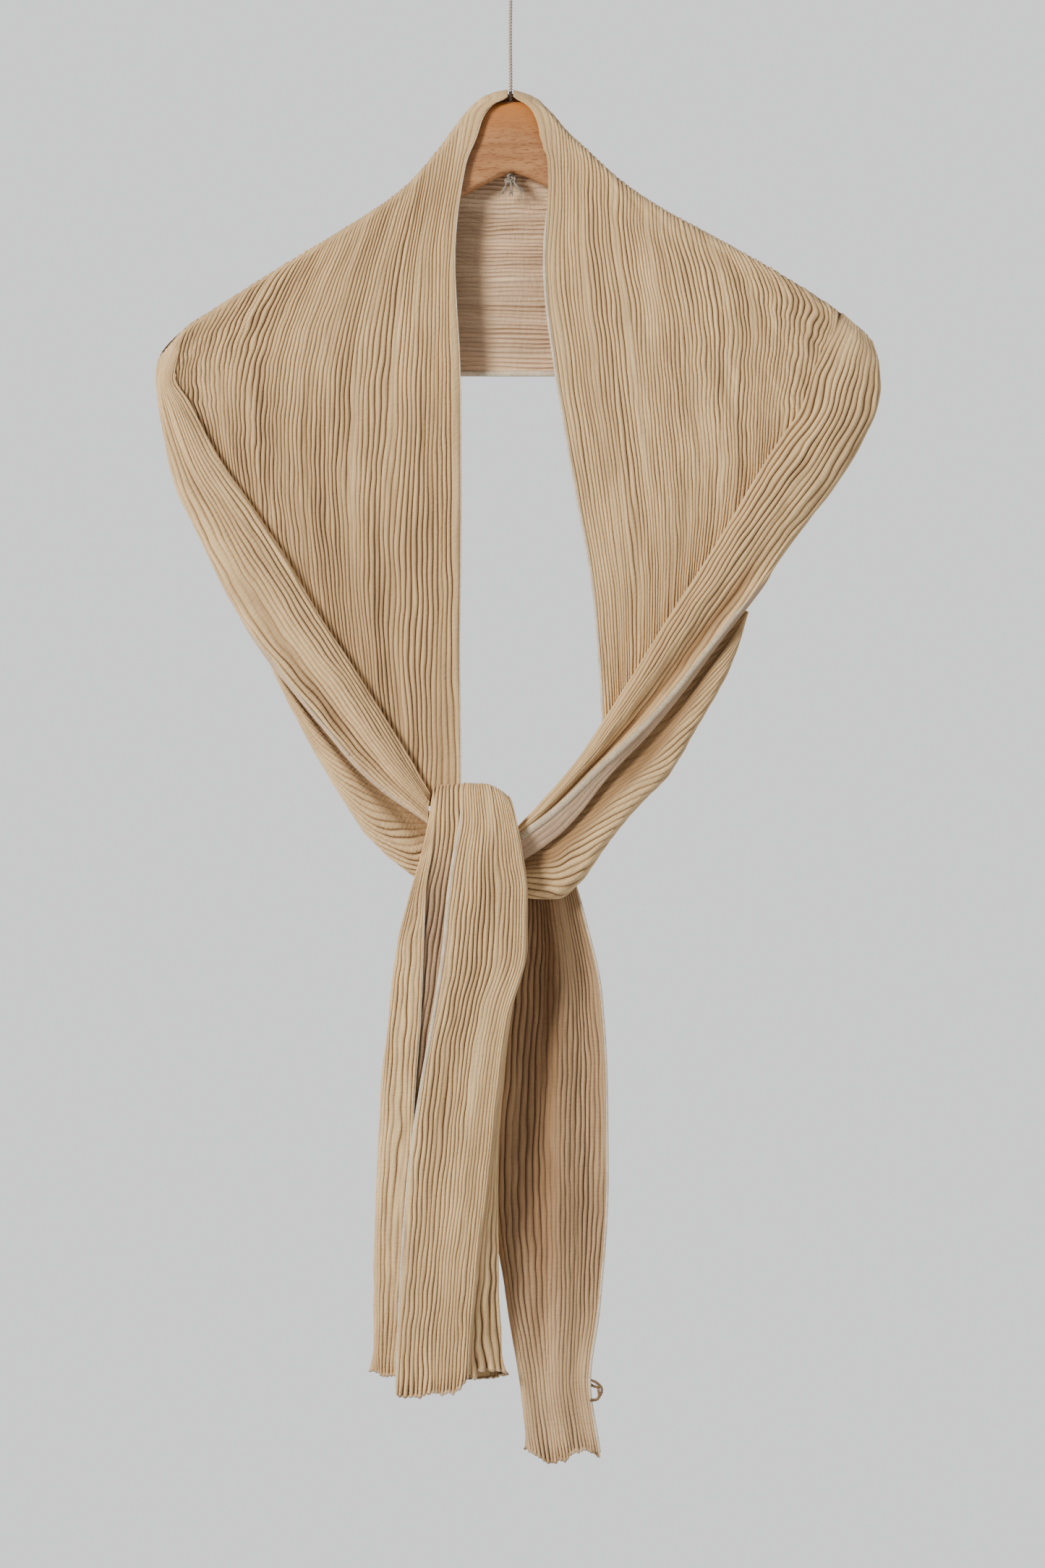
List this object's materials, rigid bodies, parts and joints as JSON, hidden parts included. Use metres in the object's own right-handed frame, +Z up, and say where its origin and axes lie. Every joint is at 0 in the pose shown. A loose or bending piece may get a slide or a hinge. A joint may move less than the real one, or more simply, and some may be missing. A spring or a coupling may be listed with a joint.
{
  "type": "pleated scarf on a wooden hanger",
  "caption": "Long finely pleated beige cotton scarf draped over a flat wooden hanger on a twine, its ends tied in a half knot in front and hanging as two tails.",
  "frame": {"origin": "inside of the top of the twine loop, where a nail or hook holds it", "axes": "+X to the viewer's right, +Y away from the viewer towards the wall, +Z up"},
  "size_m": [0.4624, 0.0509, 0.9466],
  "materials": {
    "scarf_cotton": "matt cotton with permanent narrow pleats, cream along the selvedges",
    "hanger_wood": "satin beech with rounded edges",
    "twine_cotton": "rough undyed twine"
  },
  "bodies": {
    "root": {"hanger": "hanger_wood", "twine": "twine_cotton", "twine_loop": "twine_cotton", "twine_loop_knot": "twine_cotton", "twine_stop_knot": "twine_cotton", "twine_end_left": "twine_cotton", "twine_end_right": "twine_cotton", "back_panel": "scarf_cotton", "front_left": "scarf_cotton", "front_right": "scarf_cotton", "band_left": "scarf_cotton", "band_right": "scarf_cotton", "strand_left": "scarf_cotton", "strand_right": "scarf_cotton", "knot_core": "scarf_cotton", "tail_front": "scarf_cotton", "tail_rear": "scarf_cotton"}
  },
  "joints": []
}
